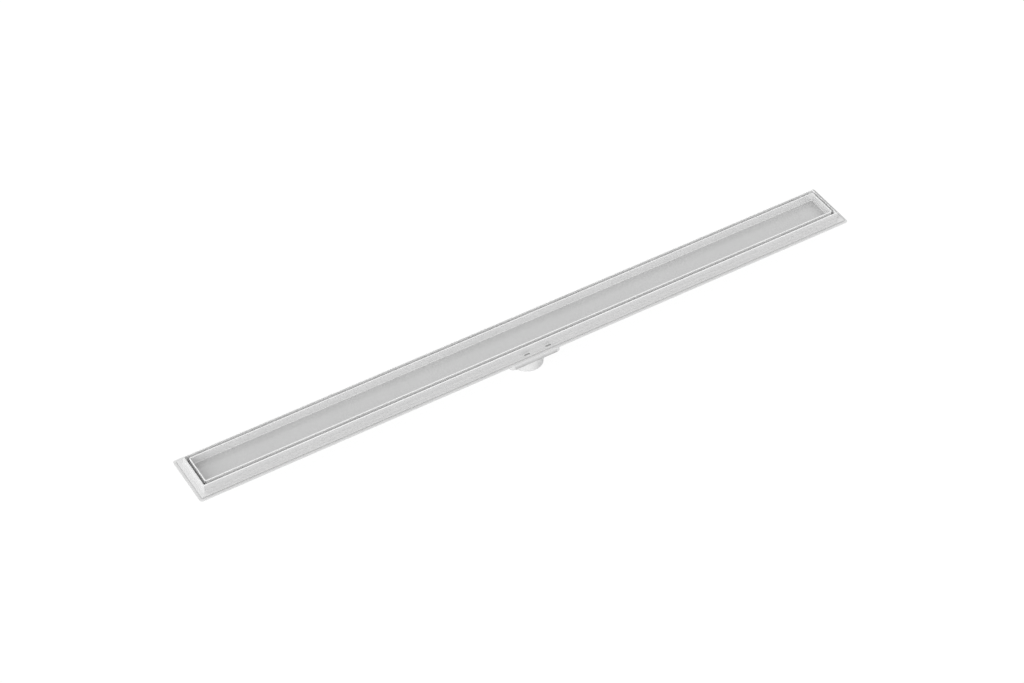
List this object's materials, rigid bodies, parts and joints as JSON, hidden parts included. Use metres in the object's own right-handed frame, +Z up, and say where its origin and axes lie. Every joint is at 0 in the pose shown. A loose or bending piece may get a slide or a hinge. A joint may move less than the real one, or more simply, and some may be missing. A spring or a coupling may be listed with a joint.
{
  "type": "channel drain",
  "caption": "Long linear floor drain with a tile tray inside a flanged frame, over a shallow trough, a sump box and a vertical outlet spigot with a strainer.",
  "frame": {"origin": "centre of the outlet spigot's lower end, which is the bottom centre of the whole part", "axes": "+X along the channel, +Y across it, +Z up; the rim is at z = 0.069 m"},
  "size_m": [1.2, 0.096, 0.069],
  "materials": {
    "frame_steel": "satin stainless sheet, edges lightly polished",
    "pan_steel": "satin stainless sheet with welded corners",
    "tray_steel": "satin stainless sheet, blasted floor",
    "outlet_steel": "satin stainless sheet and tube",
    "strainer_steel": "perforated stainless sheet and wire",
    "support_steel": "folded stainless strip"
  },
  "bodies": {
    "root": {"channel_pan": "pan_steel", "pan_end_left": "pan_steel", "pan_end_right": "pan_steel", "frame_front": "frame_steel", "frame_back": "frame_steel", "frame_left": "frame_steel", "frame_right": "frame_steel", "tile_tray": "tray_steel", "outlet_sump": "outlet_steel", "outlet_spigot": "outlet_steel", "strainer_basket": "strainer_steel", "strainer_handle": "strainer_steel", "tray_support_1": "support_steel", "tray_support_2": "support_steel", "tray_support_3": "support_steel", "tray_support_4": "support_steel", "tray_support_5": "support_steel", "tray_support_6": "support_steel"}
  },
  "joints": []
}
